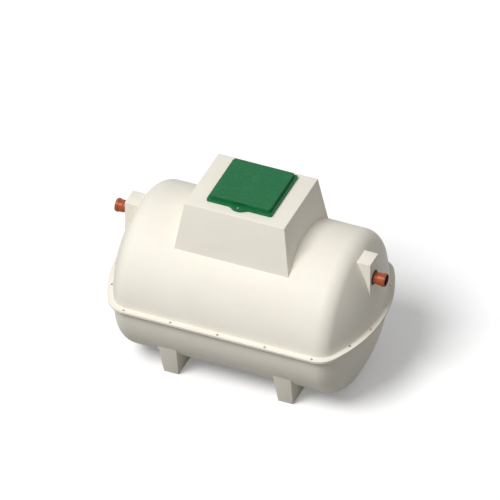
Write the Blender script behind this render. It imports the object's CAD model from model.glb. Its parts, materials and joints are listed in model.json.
import json
import math

import bmesh
import bpy
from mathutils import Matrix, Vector


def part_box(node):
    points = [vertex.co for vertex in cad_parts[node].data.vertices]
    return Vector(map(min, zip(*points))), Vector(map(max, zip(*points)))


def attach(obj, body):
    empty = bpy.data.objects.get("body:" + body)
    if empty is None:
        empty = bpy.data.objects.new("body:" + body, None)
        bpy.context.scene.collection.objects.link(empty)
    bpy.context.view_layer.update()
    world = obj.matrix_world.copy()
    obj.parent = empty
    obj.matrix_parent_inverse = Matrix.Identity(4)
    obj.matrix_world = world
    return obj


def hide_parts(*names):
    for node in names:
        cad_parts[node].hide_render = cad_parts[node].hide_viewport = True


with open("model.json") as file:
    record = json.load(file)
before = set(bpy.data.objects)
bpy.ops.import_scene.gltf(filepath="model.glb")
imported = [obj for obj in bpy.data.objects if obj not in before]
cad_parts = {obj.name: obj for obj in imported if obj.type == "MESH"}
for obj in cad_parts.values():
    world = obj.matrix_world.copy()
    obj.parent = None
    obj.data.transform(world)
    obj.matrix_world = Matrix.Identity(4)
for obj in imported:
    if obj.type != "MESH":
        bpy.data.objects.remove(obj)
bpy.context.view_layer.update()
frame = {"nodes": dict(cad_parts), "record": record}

X, Y, Z = 0, 1, 2


def span(name, axis):
    """A node's lowest and highest place along an axis, to a hundredth of a millimetre."""
    low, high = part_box(name)
    return round(low[axis], 5), round(high[axis], 5)


def middle(name, axis):
    """The middle of a node along an axis."""
    low, high = span(name, axis)
    return round((low + high) / 2, 5)


def extent(name, axis):
    """A node's size along an axis."""
    low, high = span(name, axis)
    return round(high - low, 5)


# Sizes of the model that its nodes' boxes don't show, in metres and degrees
CROWN_R = 1.425
KNUCKLE_R = 0.165
FLANGE_T = 0.009
TURRET_SLOPE = 8.6
LID_TOP = 0.590
FOOT_WIDTH = 0.146
FOOT_OUTER = 0.542
FOOT_SIDE_SLOPE = 2.9
FOOT_FRONT_SLOPE = 15.0

# Sizes read from the model's nodes, in metres
AXIS_Z = middle("flange_gasket", Z)
GASKET_T = extent("flange_gasket", Z)
BARREL_R = round(AXIS_Z - span("lower_barrel", Z)[0], 5)
BARREL_HALF = span("lower_barrel", X)[1]
FLANGE_W = round(span("upper_flange", Y)[1] - BARREL_R, 5)
WALL = extent("turret_top", Z)
TURRET_TOP = span("turret_top", Z)[1]
TURRET_LEAN = 2 * WALL * math.tan(math.radians(TURRET_SLOPE))
TURRET_LENGTH = round(extent("turret_top", X) - TURRET_LEAN, 5)
TURRET_DEPTH = round(extent("turret_top", Y) - TURRET_LEAN, 5)
LID_Y = middle("turret_coaming", Y)
LID_HOLE = round(extent("turret_coaming", X) - 2 * WALL, 5)
LID_FACE = span("access_lid", Z)[1]
LOCK_Y = middle("lid_lock", Y)
BOX_FACE = span("outlet_box", X)[1]
BOX_WIDTH = extent("outlet_box", Y)
BOX_TOP = span("outlet_box", Z)[1]
INLET_Z = middle("inlet_pipe", Z)
OUTLET_Z = middle("outlet_pipe", Z)
FOOT_X = middle("foot_back_outlet", X)
FOOT_INNER = span("foot_back_outlet", Y)[0]

# How the form is divided, and how far fitted mouldings reach into the shell's skin
CROWN_STEPS = 20
KNUCKLE_STEPS = 16
BARREL_STEPS = 8
HALF_TURN_STEPS = 90
FIT_DEPTH = 0.003
WELD = 1e-6

# Bolt centres on one quarter of the flange
BOLT_CENTRES = ((0.0, 0.7985), (0.465, 0.7985), (0.925, 0.7985), (1.172, 0.487), (1.2565, 0.190))

# The lid's raised arcs
ARC_REACH = LID_TOP / 2 - 0.030
ARC_PITCH = 0.0315
ARC_COUNT = 8
ARC_RISE = 0.0020
ARC_HALF_WIDTH = 0.0042
ARC_SHOULDER = 0.0018

# Camera at the photograph's angle
CAMERA_AZIMUTH = 22.7
CAMERA_ELEVATION = 38.2
CAMERA_DISTANCE = 150.0
CAMERA_REACH = 400.0
VIEW_WIDTH = 4.546
SENSOR_WIDTH = 36.0
AIM = Vector((-0.0126, 0.0, AXIS_Z + 0.409))

# Light and floor
KEY_FROM = Vector((-1.9, -4.1, 6.0))
KEY_STRENGTH = 2.6
KEY_ANGLE = 26
WORLD_STRENGTH = 0.33
SEEN_WORLD_STRENGTH = 1.0
FLOOR_SIZE = 60.0
FLOOR_BOUNCE = (0.25, 0.243, 0.233)
FLOOR_LIFT = 0.18
WHITE = (1.0, 1.0, 1.0, 1.0)

# The middle range of a noise, which colours and gloss are spread over
NOISE_LOW = 0.3
NOISE_HIGH = 0.7


def new_material(name):
    """A node material with its tree and its shader."""
    material = bpy.data.materials.new(name)
    material.use_nodes = True
    tree = material.node_tree
    return material, tree, tree.nodes["Principled BSDF"]


def seen_directly(tree):
    """1 for what the camera sees, straight or mirrored, and 0 for light on the object."""
    path = tree.nodes.new("ShaderNodeLightPath")
    seen = path.outputs["Is Camera Ray"]
    for kind in ("Is Glossy Ray", "Is Transmission Ray"):
        either = tree.nodes.new("ShaderNodeMath")
        either.operation = "MAXIMUM"
        tree.links.new(seen, either.inputs[0])
        tree.links.new(path.outputs[kind], either.inputs[1])
        seen = either.outputs["Value"]
    return seen


def noise(tree, scale, detail=4.0, roughness=0.5):
    """Noise in object space."""
    place = tree.nodes.new("ShaderNodeTexCoord")
    node = tree.nodes.new("ShaderNodeTexNoise")
    node.inputs["Scale"].default_value = scale
    node.inputs["Detail"].default_value = detail
    node.inputs["Roughness"].default_value = roughness
    tree.links.new(place.outputs["Object"], node.inputs["Vector"])
    return node.outputs["Fac"]


def ramp(tree, value, dark, light):
    """A colour from dark to light over a noise's middle range."""
    node = tree.nodes.new("ShaderNodeValToRGB")
    stops = ((NOISE_LOW, dark), (NOISE_HIGH, light))
    for element, (position, colour) in zip(node.color_ramp.elements, stops):
        element.position = position
        element.color = (*colour, 1.0)
    tree.links.new(value, node.inputs["Fac"])
    return node.outputs["Color"]


def spread(tree, value, low, high):
    """A noise's middle range stretched to low and high."""
    node = tree.nodes.new("ShaderNodeMapRange")
    node.inputs["From Min"].default_value = NOISE_LOW
    node.inputs["From Max"].default_value = NOISE_HIGH
    node.inputs["To Min"].default_value = low
    node.inputs["To Max"].default_value = high
    tree.links.new(value, node.inputs["Value"])
    return node.outputs["Result"]


def bump(tree, height, strength, distance, under=None):
    """A bump normal, on top of another where one is given."""
    node = tree.nodes.new("ShaderNodeBump")
    node.inputs["Strength"].default_value = strength
    node.inputs["Distance"].default_value = distance
    tree.links.new(height, node.inputs["Height"])
    if under is not None:
        tree.links.new(under, node.inputs["Normal"])
    return node.outputs["Normal"]


def surface(name, tone, dark, light, gloss, grain, reflection=0.5, metallic=0.0):
    """A material with a mottled colour, an uneven gloss and layers of grain."""
    material, tree, shader = new_material(name)
    tree.links.new(ramp(tree, noise(tree, *tone), dark, light), shader.inputs["Base Color"])
    scale, low, high = gloss
    tree.links.new(spread(tree, noise(tree, scale), low, high), shader.inputs["Roughness"])
    shader.inputs["Specular IOR Level"].default_value = reflection
    shader.inputs["Metallic"].default_value = metallic
    normal = None
    for texture, strength, depth in grain:
        normal = bump(tree, noise(tree, *texture), strength, depth, normal)
    tree.links.new(normal, shader.inputs["Normal"])
    return material


def laminate():
    """Cream gelcoat over glass fibre: faint mottling, waviness and orange peel."""
    return surface(
        "cream_laminate", (3.0, 5.0, 0.6), (0.820, 0.782, 0.686), (0.850, 0.815, 0.725),
        gloss=(18.0, 0.50, 0.60), reflection=0.28,
        grain=[((6.0, 2.0), 0.25, 0.004), ((260.0, 2.0), 0.06, 0.0008)],
    )


def lay_up():
    """The inside of the laminate: resin over chopped glass strands."""
    material = surface(
        "laminate_inside", (14.0, 6.0, 0.7), (0.50, 0.47, 0.36), (0.62, 0.59, 0.48),
        gloss=(45.0, 0.40, 0.62), grain=[((70.0, 5.0, 0.7), 0.5, 0.0015)],
    )
    tree = material.node_tree
    normal = tree.nodes["Principled BSDF"].inputs["Normal"]
    place = tree.nodes.new("ShaderNodeTexCoord")
    strands = tree.nodes.new("ShaderNodeTexVoronoi")
    strands.feature = "DISTANCE_TO_EDGE"
    strands.inputs["Scale"].default_value = 55.0
    tree.links.new(place.outputs["Object"], strands.inputs["Vector"])
    resin = normal.links[0].from_socket
    tree.links.new(bump(tree, strands.outputs["Distance"], 0.3, 0.0010, resin), normal)
    return material


def lid_plastic():
    """Deep green moulded plastic with a fine grain."""
    return surface(
        "green_lid", (35.0, 6.0, 0.65), (0.005, 0.115, 0.036), (0.009, 0.155, 0.052),
        gloss=(90.0, 0.38, 0.55), reflection=0.25, grain=[((420.0, 3.0), 0.20, 0.0008)],
    )


def pipe_plastic():
    """Orange-brown drain pipe with faint drawing marks."""
    return surface(
        "brown_pipe", (22.0, 4.0), (0.33, 0.065, 0.016), (0.40, 0.085, 0.022),
        gloss=(60.0, 0.30, 0.42), reflection=0.30, grain=[((300.0,), 0.08, 0.0006)],
    )


def rubber():
    """Dull black rubber."""
    return surface(
        "black_rubber", (40.0,), (0.012, 0.012, 0.013), (0.024, 0.024, 0.024),
        gloss=(120.0, 0.60, 0.80), grain=[((500.0,), 0.15, 0.0005)],
    )


def zinc():
    """Zinc-plated steel."""
    return surface(
        "zinc_steel", (120.0, 4.0), (0.40, 0.41, 0.42), (0.52, 0.52, 0.51),
        gloss=(200.0, 0.28, 0.42), metallic=1.0, grain=[((700.0,), 0.08, 0.0003)],
    )


MATERIALS = {
    "cream_laminate": laminate(),
    "green_lid": lid_plastic(),
    "brown_pipe": pipe_plastic(),
    "black_rubber": rubber(),
    "zinc_steel": zinc(),
}
INSIDE = lay_up()
SLOTS = {row["node"]: row["material_slot"] for row in frame["record"]["subparts"]}
for name, node in frame["nodes"].items():
    node.data.materials.clear()
    node.data.materials.append(MATERIALS[SLOTS[name]])


def make_piece(name, mesh, body, slot):
    """A new piece from a finished bmesh, riding on a body."""
    data = bpy.data.meshes.new(name)
    mesh.to_mesh(data)
    mesh.free()
    data.materials.append(MATERIALS[slot])
    piece = bpy.data.objects.new(name, data)
    bpy.context.scene.collection.objects.link(piece)
    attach(piece, body)
    return piece


def smooth_below(piece, degrees):
    """Smooth shading, with edges over the angle kept sharp."""
    mesh = bmesh.new()
    mesh.from_mesh(piece.data)
    limit = math.radians(degrees)
    for face in mesh.faces:
        face.smooth = True
    for edge in mesh.edges:
        edge.smooth = len(edge.link_faces) == 2 and edge.calc_face_angle(0.0) < limit
    mesh.to_mesh(piece.data)
    mesh.free()


def line_inside(piece):
    """The lay-up finish on the faces that look towards the tank's axis."""
    axis_half, inward = 0.8, -0.15
    piece.data.materials.append(INSIDE)
    for face in piece.data.polygons:
        along = min(max(face.center.x, -axis_half), axis_half)
        outward = face.center - Vector((along, 0.0, AXIS_Z))
        if face.normal.dot(outward.normalized()) < inward:
            face.material_index = 1


def half_profile(outset, crown_steps, knuckle_steps):
    """The tank's outline from the barrel's end to the apex, as (x, radius) points."""
    crown, knuckle = CROWN_R + outset, KNUCKLE_R + outset
    knuckle_y = BARREL_R - KNUCKLE_R
    apart = CROWN_R - KNUCKLE_R
    crown_angle = math.asin(knuckle_y / apart)
    crown_x = BARREL_HALF - math.sqrt(apart**2 - knuckle_y**2)
    points = []
    for step in range(knuckle_steps + 1):
        angle = math.pi / 2 + (crown_angle - math.pi / 2) * step / knuckle_steps
        x = BARREL_HALF + knuckle * math.cos(angle)
        points.append((x, knuckle_y + knuckle * math.sin(angle)))
    for step in range(1, crown_steps + 1):
        angle = crown_angle * (1 - step / crown_steps)
        points.append((crown_x + crown * math.cos(angle), crown * math.sin(angle)))
    return points


def full_profile(outset):
    """The whole outline from the inlet's apex to the outlet's."""
    right = half_profile(outset, CROWN_STEPS, KNUCKLE_STEPS)
    left = [(-x, radius) for x, radius in reversed(right)]
    steps = range(1 - BARREL_STEPS, BARREL_STEPS)
    barrel = [(BARREL_HALF * step / BARREL_STEPS, BARREL_R + outset) for step in steps]
    return left + barrel + right


def revolved(mesh, outset, start, stop, steps):
    """Rows of vertices: the outline turned about the tank's axis between two angles."""
    rows = []
    for x, radius in full_profile(outset):
        row = []
        for step in range(steps):
            angle = math.radians(start + (stop - start) * step / HALF_TURN_STEPS)
            place = (x, radius * math.cos(angle), AXIS_Z + radius * math.sin(angle))
            row.append(mesh.verts.new(place))
        rows.append(row)
    return rows


def grid_faces(mesh, rows, close_rows=False, close_columns=False):
    """Faces over a grid of vertices, given as rows."""
    count = len(rows)
    for index in range(count if close_rows else count - 1):
        low, high = rows[index], rows[(index + 1) % count]
        width = len(low)
        for place in range(width if close_columns else width - 1):
            after = (place + 1) % width
            corners = []
            for vertex in (low[place], low[after], high[after], high[place]):
                if vertex not in corners:
                    corners.append(vertex)
            if len(corners) > 2:
                mesh.faces.new(corners)


def capped(mesh, rings):
    """Faces between rings of vertices, and over the first and the last."""
    grid_faces(mesh, rings, close_columns=True)
    mesh.faces.new(rings[-1])
    mesh.faces.new(list(reversed(rings[0])))


def shell_mesh(start):
    """A closed half shell from an angle on: outside, inside and the rims between them."""
    mesh = bmesh.new()
    outside, inside = [
        revolved(mesh, outset, start, start + 180, HALF_TURN_STEPS + 1) for outset in (0, -WALL)
    ]
    grid_faces(mesh, outside)
    grid_faces(mesh, inside)
    for side in (0, -1):
        grid_faces(mesh, [[row[side] for row in outside], [row[side] for row in inside]])
    bmesh.ops.remove_doubles(mesh, verts=mesh.verts, dist=WELD)
    bmesh.ops.recalc_face_normals(mesh, faces=mesh.faces)
    return mesh


def tank_mesh():
    """The tank's full form just inside its skin, to cut others with."""
    mesh = bmesh.new()
    rows = revolved(mesh, -FIT_DEPTH, 0, 180, 2 * HALF_TURN_STEPS)
    grid_faces(mesh, rows, close_columns=True)
    bmesh.ops.remove_doubles(mesh, verts=mesh.verts, dist=WELD)
    bmesh.ops.recalc_face_normals(mesh, faces=mesh.faces)
    return mesh


def frustum_mesh(length, depth, top, bottom, slope):
    """A block whose sides lean outwards by the slope in degrees from its top down."""
    mesh = bmesh.new()
    run = (top - bottom) * math.tan(math.radians(slope))
    rings = []
    for z, grow in ((top, 0.0), (bottom, run)):
        x, y = length / 2 + grow, depth / 2 + grow
        corners = ((-x, -y), (x, -y), (x, y), (-x, y))
        rings.append([mesh.verts.new((*corner, z)) for corner in corners])
    capped(mesh, rings)
    bmesh.ops.recalc_face_normals(mesh, faces=mesh.faces)
    return mesh


def block_mesh(low, high):
    """A plain block between two corners."""
    mesh = bmesh.new()
    bmesh.ops.create_cube(mesh, size=1.0)
    for vertex in mesh.verts:
        for axis in (X, Y, Z):
            centre, size = (low[axis] + high[axis]) / 2, high[axis] - low[axis]
            vertex.co[axis] = centre + vertex.co[axis] * size
    return mesh


def rod_mesh(centre, axis, radius, length, sides=48):
    """A round bar along an axis."""
    mesh = bmesh.new()
    bmesh.ops.create_cone(
        mesh, cap_ends=True, segments=sides, radius1=radius, radius2=radius, depth=length
    )
    turn = Vector(axis).to_track_quat("Z", "Y").to_matrix()
    for vertex in mesh.verts:
        vertex.co = turn @ vertex.co + Vector(centre)
    return mesh


def bevelled(mesh, width, segments=3, picks=None):
    """The mesh with its edges, or the picked ones, rounded."""
    edges = [edge for edge in mesh.edges if picks is None or picks(edge)]
    bmesh.ops.bevel(
        mesh, geom=edges, offset=width, segments=segments, profile=0.5, affect="EDGES",
        clamp_overlap=True,
    )
    return mesh


def carved(mesh, cutters):
    """The mesh with each cutter mesh taken away from it."""
    objects = []
    for part in [mesh, *cutters]:
        data = bpy.data.meshes.new("carving")
        part.to_mesh(data)
        part.free()
        item = bpy.data.objects.new("carving", data)
        bpy.context.scene.collection.objects.link(item)
        objects.append(item)
    body = objects[0]
    for cutter in objects[1:]:
        change = body.modifiers.new("cut", "BOOLEAN")
        change.operation = "DIFFERENCE"
        change.solver = "EXACT"
        change.object = cutter
    graph = bpy.context.evaluated_depsgraph_get()
    result = bmesh.new()
    result.from_object(body, graph)
    for item in objects:
        data = item.data
        bpy.data.objects.remove(item)
        bpy.data.meshes.remove(data)
    bmesh.ops.remove_doubles(result, verts=result.verts, dist=WELD)
    return result


def turret_cavity():
    """The turret's inside."""
    inset = 2 * WALL / math.cos(math.radians(TURRET_SLOPE)) - TURRET_LEAN
    return frustum_mesh(
        TURRET_LENGTH - inset, TURRET_DEPTH - inset, TURRET_TOP - WALL, AXIS_Z, TURRET_SLOPE
    )


def box_cavity(side):
    """The inside of a pipe box, through the dished end behind it."""
    reach, floor = 0.45, AXIS_Z + 0.352
    x_low, x_high = sorted((side * (BOX_FACE - reach), side * (BOX_FACE - WALL)))
    half = BOX_WIDTH / 2 - WALL
    return block_mesh((x_low, -half, floor), (x_high, half, BOX_TOP - WALL))


def add_shells():
    """Both half shells as smooth skins."""
    cutters = [turret_cavity(), box_cavity(-1), box_cavity(1)]
    upper = make_piece("upper_shell", carved(shell_mesh(0), cutters), "tank", "cream_laminate")
    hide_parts("upper_barrel", "upper_inlet_end", "upper_outlet_end")
    lower = make_piece("lower_shell", shell_mesh(180), "tank", "cream_laminate")
    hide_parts("lower_barrel", "lower_inlet_end", "lower_outlet_end")
    for piece in (upper, lower):
        smooth_below(piece, 30)
        line_inside(piece)


def mirrored(path, x_side, y_side):
    """A path's points and normals, mirrored to other sides of the tank."""
    return [
        (Vector((x_side * point.x, y_side * point.y)), Vector((x_side * out.x, y_side * out.y)))
        for point, out in path
    ]


def flange_path():
    """Points and outward normals round the tank's plan outline."""
    profile = [Vector(point) for point in half_profile(0, 40, 12)]
    quarter = [(profile[0], Vector((0.0, 1.0)))]
    for before, point, after in zip(profile, profile[1:], profile[2:]):
        along = after - before
        quarter.append((point, Vector((-along.y, along.x)).normalized()))
    quarter.append((profile[-1], Vector((1.0, 0.0))))
    barrel = [(Vector((BARREL_HALF * k / 6, BARREL_R)), Vector((0.0, 1.0))) for k in range(-5, 6)]
    homeward = list(reversed(quarter[:-1]))
    right = quarter + mirrored(homeward, 1, -1)
    left = mirrored(quarter, -1, -1) + mirrored(homeward, -1, 1)
    return right + mirrored(barrel, -1, -1) + left + barrel


def arc_points(centre, radius, start, stop, steps):
    """Points round an arc, from one angle to another in degrees."""
    points = []
    for step in range(steps + 1):
        angle = math.radians(start + (stop - start) * step / steps)
        points.append((centre[0] + radius * math.cos(angle), centre[1] + radius * math.sin(angle)))
    return points


def flange_section():
    """Half the flange joint's section, as (distance out, height) from the joint's plane."""
    base, top = GASKET_T / 2, GASKET_T / 2 + FLANGE_T
    edge, corner, root, buried = 0.003, 0.001, 0.012, -0.006
    section = [(buried, base)]
    section += arc_points((FLANGE_W - corner, base + corner), corner, -90, 0, 2)
    section += arc_points((FLANGE_W - edge, top - edge), edge, 0, 90, 4)
    section += arc_points((root, top + root), root, -90, -180, 6)
    return section + [(buried, top + root)]


def add_flanges():
    """The upper and lower bolting flanges, with rounded edges and filleted roots."""
    path = flange_path()
    for name, side in (("upper", 1), ("lower", -1)):
        mesh = bmesh.new()
        rows = []
        for point, normal in path:
            row = []
            for out, height in flange_section():
                place = point + normal * out
                row.append(mesh.verts.new((place.x, place.y, AXIS_Z + side * height)))
            rows.append(row)
        grid_faces(mesh, rows, close_rows=True, close_columns=True)
        bmesh.ops.recalc_face_normals(mesh, faces=mesh.faces)
        piece = make_piece(f"{name}_flange_lip", mesh, "tank", "cream_laminate")
        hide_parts(f"{name}_flange")
        smooth_below(piece, 40)


def add_turret():
    """The turret's walls and top in one moulding with eased edges."""
    ease, hole_corner, hole_depth, lock_radius = 0.006, 0.016, 0.05, 0.012
    buried, eased_above = AXIS_Z + 0.4, AXIS_Z + 0.5
    mesh = frustum_mesh(TURRET_LENGTH, TURRET_DEPTH, TURRET_TOP, buried, TURRET_SLOPE)
    bevelled(mesh, ease, 4, lambda edge: max(v.co.z for v in edge.verts) > eased_above)
    centre = Vector((0.0, LID_Y, TURRET_TOP))
    half = Vector((LID_HOLE / 2, LID_HOLE / 2, hole_depth))
    hole = block_mesh(centre - half, centre + half)
    bevelled(
        hole, hole_corner, 4, lambda edge: abs(edge.verts[0].co.z - edge.verts[1].co.z) > hole_depth
    )
    lock_hole = rod_mesh((0.0, LOCK_Y, TURRET_TOP), (0, 0, 1), lock_radius, hole_depth)
    cutters = [tank_mesh(), turret_cavity(), hole, lock_hole]
    piece = make_piece("turret", carved(mesh, cutters), "tank", "cream_laminate")
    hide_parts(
        "turret_front_wall", "turret_back_wall", "turret_inlet_side_wall",
        "turret_outlet_side_wall", "turret_top",
    )
    smooth_below(piece, 32)
    line_inside(piece)


def add_boxes():
    """The two pipe boxes with eased edges."""
    ease, reach, hole_radius, hole_depth = 0.004, 0.4, 0.062, 0.05
    buried = AXIS_Z + 0.2
    half = BOX_WIDTH / 2
    for name, side, height in (("inlet", -1, INLET_Z), ("outlet", 1, OUTLET_Z)):
        x_low, x_high = sorted((side * (BOX_FACE - reach), side * BOX_FACE))
        mesh = bevelled(block_mesh((x_low, -half, buried), (x_high, half, BOX_TOP)), ease)
        hole = rod_mesh((side * BOX_FACE, 0.0, height), (1, 0, 0), hole_radius, hole_depth)
        cutters = [tank_mesh(), box_cavity(side), hole]
        piece = make_piece(f"{name}_housing", carved(mesh, cutters), "tank", "cream_laminate")
        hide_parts(f"{name}_box")
        smooth_below(piece, 32)


def foot_mesh(x_side, y_side):
    """One foot, from the ground to inside the shell."""
    ease, height, eased_below = 0.005, 0.385, 0.1
    side_run = math.tan(math.radians(FOOT_SIDE_SLOPE))
    front_run = math.tan(math.radians(FOOT_FRONT_SLOPE))
    mesh = bmesh.new()
    rings = []
    for z in (0.0, height):
        half, outer = FOOT_WIDTH / 2 + z * side_run, FOOT_OUTER + z * front_run
        corners = ((-half, FOOT_INNER), (half, FOOT_INNER), (half, outer), (-half, outer))
        ring = [mesh.verts.new((x_side * FOOT_X + x, y_side * y, z)) for x, y in corners]
        rings.append(ring)
    capped(mesh, rings)
    bmesh.ops.recalc_face_normals(mesh, faces=mesh.faces)
    return bevelled(mesh, ease, 3, lambda edge: min(v.co.z for v in edge.verts) < eased_below)


def add_feet():
    """The four feet with eased edges, run up to the shell."""
    for depth_name, y_side in (("front", -1), ("back", 1)):
        for end_name, x_side in (("inlet", -1), ("outlet", 1)):
            name = f"foot_{depth_name}_{end_name}"
            mesh = carved(foot_mesh(x_side, y_side), [tank_mesh()])
            piece = make_piece(f"{name}_moulding", mesh, "tank", "cream_laminate")
            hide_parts(name)
            smooth_below(piece, 32)


def turned(mesh, centre, outline, sides, start=0):
    """A closed upright form added to the mesh, from its outline as (radius, z) points."""
    rings = []
    for radius, z in outline:
        ring = []
        for corner in range(sides):
            angle = math.radians(start + 360 * corner / sides)
            x, y = centre[0] + radius * math.cos(angle), centre[1] + radius * math.sin(angle)
            ring.append(mesh.verts.new((x, y, z)))
        rings.append(ring)
    capped(mesh, rings)


def hexagon(mesh, centre, low, high):
    """A six-sided bolt head or nut with chamfered corners."""
    size, chamfer, neck = 0.0095, 0.002, 0.86
    outline = ((size, low), (size, high - chamfer), (size * neck, high))
    turned(mesh, centre, outline, 6, start=15)


def disc(mesh, centre, radius, low, high, sides=24):
    """A flat round washer, shank or head."""
    turned(mesh, centre, ((radius, low), (radius, high)), sides)


def add_bolts():
    """The flange bolts: heads and washers on top, washers, nuts and thread ends below."""
    washer_radius, washer, head, nut = 0.0115, 0.002, 0.0065, 0.0075
    thread_radius, thread_from, thread_to = 0.0048, 0.009, 0.015
    top = AXIS_Z + GASKET_T / 2 + FLANGE_T
    bottom = AXIS_Z - GASKET_T / 2 - FLANGE_T
    mesh = bmesh.new()
    for x, y in BOLT_CENTRES:
        for x_side in (-1, 1) if x else (1,):
            for y_side in (-1, 1):
                centre = (x_side * x, y_side * y)
                disc(mesh, centre, washer_radius, top, top + washer)
                hexagon(mesh, centre, top + washer, top + washer + head)
                disc(mesh, centre, washer_radius, bottom - washer, bottom)
                hexagon(mesh, centre, bottom - washer - nut, bottom - washer)
                disc(mesh, centre, thread_radius, bottom - thread_to, bottom - thread_from, 16)
    bmesh.ops.recalc_face_normals(mesh, faces=mesh.faces)
    make_piece("flange_bolts", mesh, "tank", "zinc_steel")


def add_hinge_screws():
    """Two pan-head screws in each hinge bracket's base."""
    apart, edge, plate = 0.018, 0.006, 0.004
    rim_radius, rim, crown_radius, crown = 0.0038, 0.0015, 0.0028, 0.0008
    mesh = bmesh.new()
    for name in ("hinge_bracket_inlet_side", "hinge_bracket_outlet_side"):
        low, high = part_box(name)
        seat = low.z + plate
        for side in (-1, 1):
            centre = ((low.x + high.x) / 2 + side * apart, high.y - edge)
            disc(mesh, centre, rim_radius, seat, seat + rim)
            disc(mesh, centre, crown_radius, seat + rim, seat + rim + crown)
    bmesh.ops.recalc_face_normals(mesh, faces=mesh.faces)
    make_piece("hinge_screws", mesh, "tank", "zinc_steel")


def add_lock():
    """The lid's lock: a slotted, eased head on its shank."""
    shank, tip, head, head_top = 0.0050, 0.0042, 0.0090, 0.0078
    head_depth, slot_half, slot_reach, slot_depth = 0.005, 0.0011, 0.02, 0.0022
    low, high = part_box("lid_lock")
    centre = ((low.x + high.x) / 2, (low.y + high.y) / 2)
    outline = (
        (tip, low.z), (shank, low.z + 0.001), (shank, high.z - head_depth),
        (head, high.z - head_depth), (head, high.z - 0.0012), (head_top, high.z),
    )
    mesh = bmesh.new()
    turned(mesh, centre, outline, 36)
    bmesh.ops.recalc_face_normals(mesh, faces=mesh.faces)
    slot = block_mesh(
        (centre[0] - slot_half, centre[1] - slot_reach, high.z - slot_depth),
        (centre[0] + slot_half, centre[1] + slot_reach, high.z + slot_reach),
    )
    piece = make_piece("lid_lock_screw", carved(mesh, [slot]), "lid", "zinc_steel")
    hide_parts("lid_lock")
    smooth_below(piece, 30)


def arc_runs(radius, reach):
    """The angles of a half ring that stay in the triangle between a side and the middle."""
    runs, run = [], []
    for step in range(0, 181, 3):
        angle = math.radians(step)
        if abs(radius * math.cos(angle)) + radius * math.sin(angle) <= reach:
            run.append(angle)
        elif run:
            runs.append(run)
            run = []
    if run:
        runs.append(run)
    return [found for found in runs if len(found) > 2]


def raised_arc(mesh, radius, angles, turn):
    """One raised arc round the middle of the lid's side that the turn picks."""
    flat = ARC_HALF_WIDTH - ARC_SHOULDER
    section = ((-ARC_HALF_WIDTH, 0.0), (-flat, ARC_RISE), (flat, ARC_RISE), (ARC_HALF_WIDTH, 0.0))
    rows = []
    for angle in angles:
        row = []
        for off, height in section:
            x = (radius + off) * math.cos(angle)
            y = (radius + off) * math.sin(angle) - ARC_REACH
            across = x * math.cos(turn) - y * math.sin(turn)
            along = x * math.sin(turn) + y * math.cos(turn)
            row.append(mesh.verts.new((across, LID_Y + along, LID_FACE + height)))
        rows.append(row)
    grid_faces(mesh, rows)
    mesh.faces.new(rows[0])
    mesh.faces.new(list(reversed(rows[-1])))


def add_lid_pattern():
    """Raised non-slip arcs on the lid: half rings round the middle of each side."""
    mesh = bmesh.new()
    for quarter in range(4):
        for ring in range(1, ARC_COUNT + 1):
            radius = ARC_PITCH * ring
            for angles in arc_runs(radius, ARC_REACH - ARC_PITCH / 4):
                raised_arc(mesh, radius, angles, math.radians(90 * quarter))
    bmesh.ops.recalc_face_normals(mesh, faces=mesh.faces)
    piece = make_piece("lid_tread", mesh, "lid", "green_lid")
    smooth_below(piece, 50)


def add_camera():
    """A long lens at the photograph's angle."""
    azimuth, elevation = math.radians(CAMERA_AZIMUTH), math.radians(CAMERA_ELEVATION)
    direction = Vector((
        math.sin(azimuth) * math.cos(elevation),
        -math.cos(azimuth) * math.cos(elevation),
        math.sin(elevation),
    ))
    data = bpy.data.cameras.new("camera")
    data.sensor_width = SENSOR_WIDTH
    data.lens = SENSOR_WIDTH * CAMERA_DISTANCE / VIEW_WIDTH
    data.clip_end = CAMERA_REACH
    camera = bpy.data.objects.new("camera", data)
    camera.location = AIM + direction * CAMERA_DISTANCE
    camera.rotation_euler = (-direction).to_track_quat("-Z", "Y").to_euler()
    bpy.context.scene.collection.objects.link(camera)
    bpy.context.scene.camera = camera


def add_key():
    """One soft sun from the front left."""
    data = bpy.data.lights.new("key", "SUN")
    data.energy = KEY_STRENGTH
    data.angle = math.radians(KEY_ANGLE)
    lamp = bpy.data.objects.new("key", data)
    lamp.location = KEY_FROM + Vector((0.0, 0.0, AXIS_Z))
    lamp.rotation_euler = (-KEY_FROM).to_track_quat("-Z", "Y").to_euler()
    bpy.context.scene.collection.objects.link(lamp)


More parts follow.
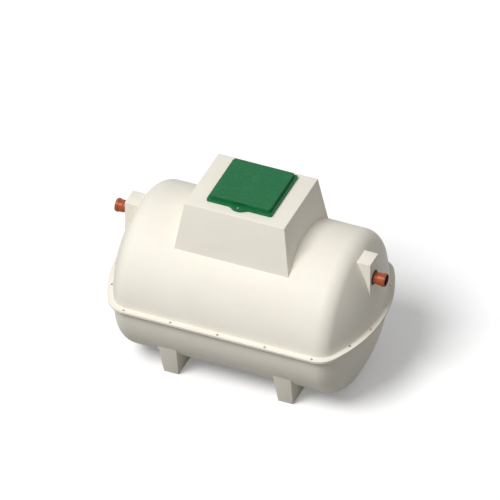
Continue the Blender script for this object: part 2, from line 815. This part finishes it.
def add_world():
    """White studio surroundings, brighter to the camera than to the object."""
    world = bpy.data.worlds.new("studio")
    world.use_nodes = True
    tree = world.node_tree
    light = tree.nodes["Background"]
    light.inputs["Color"].default_value = WHITE
    light.inputs["Strength"].default_value = WORLD_STRENGTH
    seen = tree.nodes.new("ShaderNodeBackground")
    seen.inputs["Color"].default_value = WHITE
    seen.inputs["Strength"].default_value = SEEN_WORLD_STRENGTH
    mix = tree.nodes.new("ShaderNodeMixShader")
    tree.links.new(seen_directly(tree), mix.inputs["Fac"])
    tree.links.new(light.outputs["Background"], mix.inputs[1])
    tree.links.new(seen.outputs["Background"], mix.inputs[2])
    tree.links.new(mix.outputs["Shader"], tree.nodes["World Output"].inputs["Surface"])
    bpy.context.scene.world = world


def floor_material():
    """A white floor, duller to the object than to the camera."""
    material, tree, shader = new_material("floor_white")
    seen = ramp(tree, noise(tree, 0.8), (0.90, 0.90, 0.90), (0.92, 0.92, 0.92))
    direct = seen_directly(tree)
    mix = tree.nodes.new("ShaderNodeMix")
    mix.data_type = "RGBA"
    mix.inputs["A"].default_value = (*FLOOR_BOUNCE, 1.0)
    tree.links.new(direct, mix.inputs["Factor"])
    tree.links.new(seen, mix.inputs["B"])
    tree.links.new(mix.outputs["Result"], shader.inputs["Base Color"])
    shader.inputs["Roughness"].default_value = 1.0
    shader.inputs["Specular IOR Level"].default_value = 0.0
    shader.inputs["Emission Color"].default_value = WHITE
    lift = tree.nodes.new("ShaderNodeMath")
    lift.operation = "MULTIPLY"
    lift.inputs[1].default_value = FLOOR_LIFT
    tree.links.new(direct, lift.inputs[0])
    tree.links.new(lift.outputs["Value"], shader.inputs["Emission Strength"])
    return material


def add_floor():
    """A wide white floor."""
    mesh = bmesh.new()
    bmesh.ops.create_grid(mesh, x_segments=1, y_segments=1, size=FLOOR_SIZE)
    data = bpy.data.meshes.new("floor")
    mesh.to_mesh(data)
    mesh.free()
    data.materials.append(floor_material())
    floor = bpy.data.objects.new("floor", data)
    bpy.context.scene.collection.objects.link(floor)


add_shells()
add_flanges()
add_turret()
add_boxes()
add_feet()
add_bolts()
add_hinge_screws()
add_lock()
add_lid_pattern()
add_camera()
add_world()
add_floor()
add_key()
bpy.context.scene.view_settings.view_transform = "Standard"
